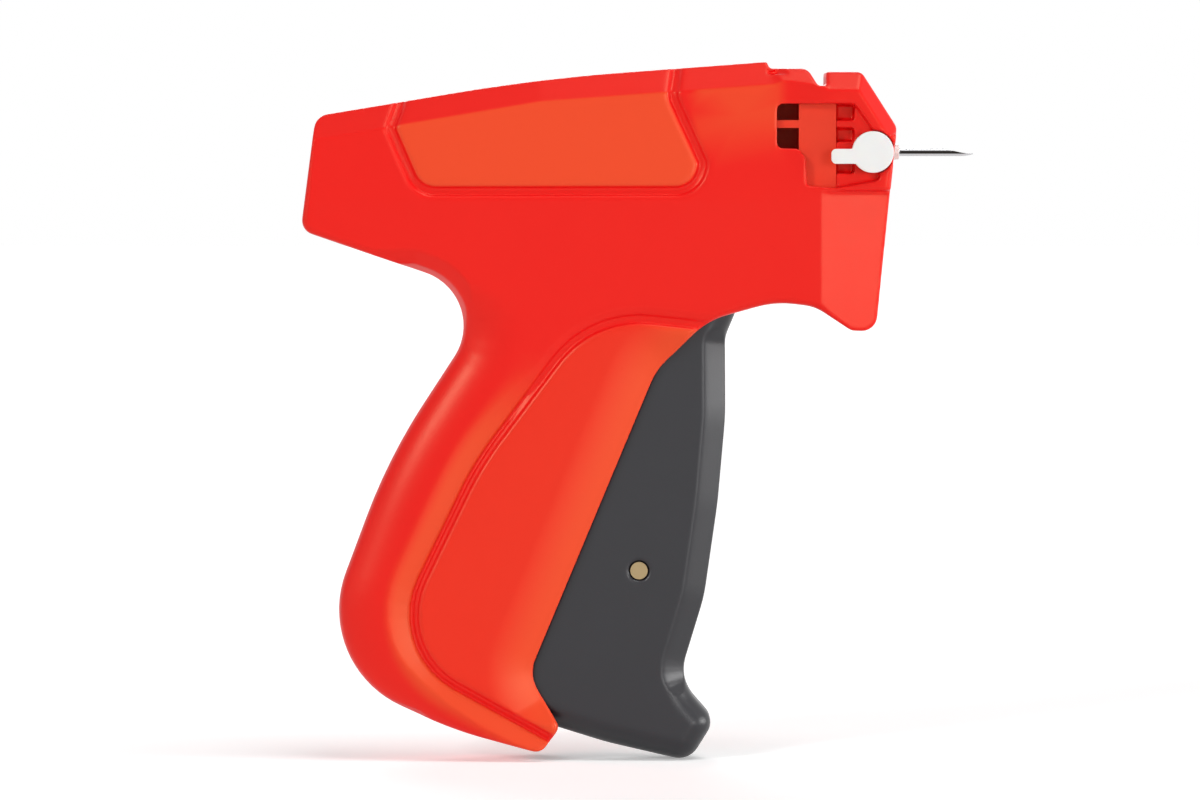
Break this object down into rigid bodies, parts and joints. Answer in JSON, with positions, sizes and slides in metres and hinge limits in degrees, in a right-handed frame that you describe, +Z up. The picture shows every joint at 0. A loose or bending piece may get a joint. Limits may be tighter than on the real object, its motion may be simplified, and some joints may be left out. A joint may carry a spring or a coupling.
{
  "type": "garment tag attacher",
  "caption": "Hand-held tag attacher: pistol-shaped two-shell housing, finger trigger, drive lever, slide with push rod, clip feed and a slit needle held by a turn knob.",
  "frame": {"origin": "on the needle's axis, where the needle leaves the hub's nose", "axes": "+X along the needle, out of the tool; +Z up towards the clip slot; +Y towards the left-hand shell, which carries the screw heads"},
  "size_m": [0.1395, 0.0246, 0.145],
  "materials": {
    "shell": "red moulded plastic, semi-gloss with a fine grain",
    "trigger": "charcoal moulded plastic, satin",
    "brass": "tan plated rivet",
    "knob": "translucent white nylon",
    "hub": "white nylon",
    "steel": "bright ground steel",
    "blade": "polished blade steel",
    "spring": "spring wire",
    "pin": "turned steel pin",
    "inner": "natural white acetal",
    "guide": "dark red plastic",
    "bumper": "black rubber",
    "screw": "zinc plated screw"
  },
  "bodies": {
    "body": {"housing_right": "shell", "housing_left": "shell", "housing_screws": "screw", "trigger_spring": "spring", "lever_pivot_pin": "pin", "rod_guide": "inner", "slide_bumper": "bumper", "needle_hub": "hub", "needle": "steel", "clip_guide": "guide", "knife": "blade", "feed_axle": "pin", "detent_spring": "spring"},
    "trigger": {"trigger": "trigger", "trigger_pivots": "pin", "trigger_link_pin": "brass", "link_lower_pin": "pin"},
    "lever": {"drive_lever": "inner"},
    "slide": {"plunger_slide": "inner", "slide_drive_pin": "pin", "plunger_rod": "steel"},
    "rocker": {"feed_rocker": "steel", "link_upper_pin": "pin", "pawl_pin": "pin", "pawl_spring": "spring"},
    "link": {"feed_link": "steel"},
    "pawl": {"feed_pawl": "steel"},
    "feed_wheel": {"feed_sprocket": "inner", "ratchet_wheel": "inner"},
    "knob": {"lock_knob": "knob"}
  },
  "joints": [
    {"name": "trigger_squeeze", "type": "hinge", "parent": "body", "child": "trigger", "pos_m": [-0.045, 0, -0.025], "axis": [0, 1, 0], "range_deg": [0, 16], "stiffness_Nm_per_rad": 1.2, "springref_deg": -20.05, "deforming": ["trigger_spring"]},
    {"name": "lever_swing", "type": "hinge", "parent": "body", "child": "lever", "pos_m": [-0.0617, 0, -0.058], "axis": [0, 1, 0], "range_deg": [0, 35.56]},
    {"name": "slide_travel", "type": "slide", "parent": "body", "child": "slide", "axis": [1, 0, 0], "range_m": [0, 0.0354]},
    {"name": "rocker_swing", "type": "hinge", "parent": "body", "child": "rocker", "pos_m": [-0.025, 0, -0.01], "axis": [0, 1, 0], "range_deg": [-16, 0]},
    {"name": "link_turn", "type": "hinge", "parent": "trigger", "child": "link", "pos_m": [-0.04597, 0, -0.01807], "axis": [0, 1, 0], "range_deg": [-16, 0]},
    {"name": "pawl_lift", "type": "hinge", "parent": "rocker", "child": "pawl", "pos_m": [-0.03263, 0, -0.01458], "axis": [0, 1, 0], "range_deg": [-11, 0], "deforming": ["pawl_spring"]},
    {"name": "feed_wheel_turn", "type": "hinge", "parent": "body", "child": "feed_wheel", "pos_m": [-0.025, 0, -0.01], "axis": [0, 1, 0], "continuous": true},
    {"name": "knob_turn", "type": "hinge", "parent": "body", "child": "knob", "pos_m": [-0.0059, 0, 0], "axis": [0, 1, 0], "range_deg": [0, 90]}
  ],
  "couplings": [
    {"joint": "lever_swing", "follows": "trigger_squeeze", "ratio": 2.2225},
    {"joint": "slide_travel", "follows": "trigger_squeeze", "m_per_rad": 0.12676},
    {"joint": "rocker_swing", "follows": "trigger_squeeze", "ratio": -1},
    {"joint": "link_turn", "follows": "trigger_squeeze", "ratio": -1},
    {"joint": "pawl_lift", "follows": "trigger_squeeze", "ratio": -0.6875}
  ]
}
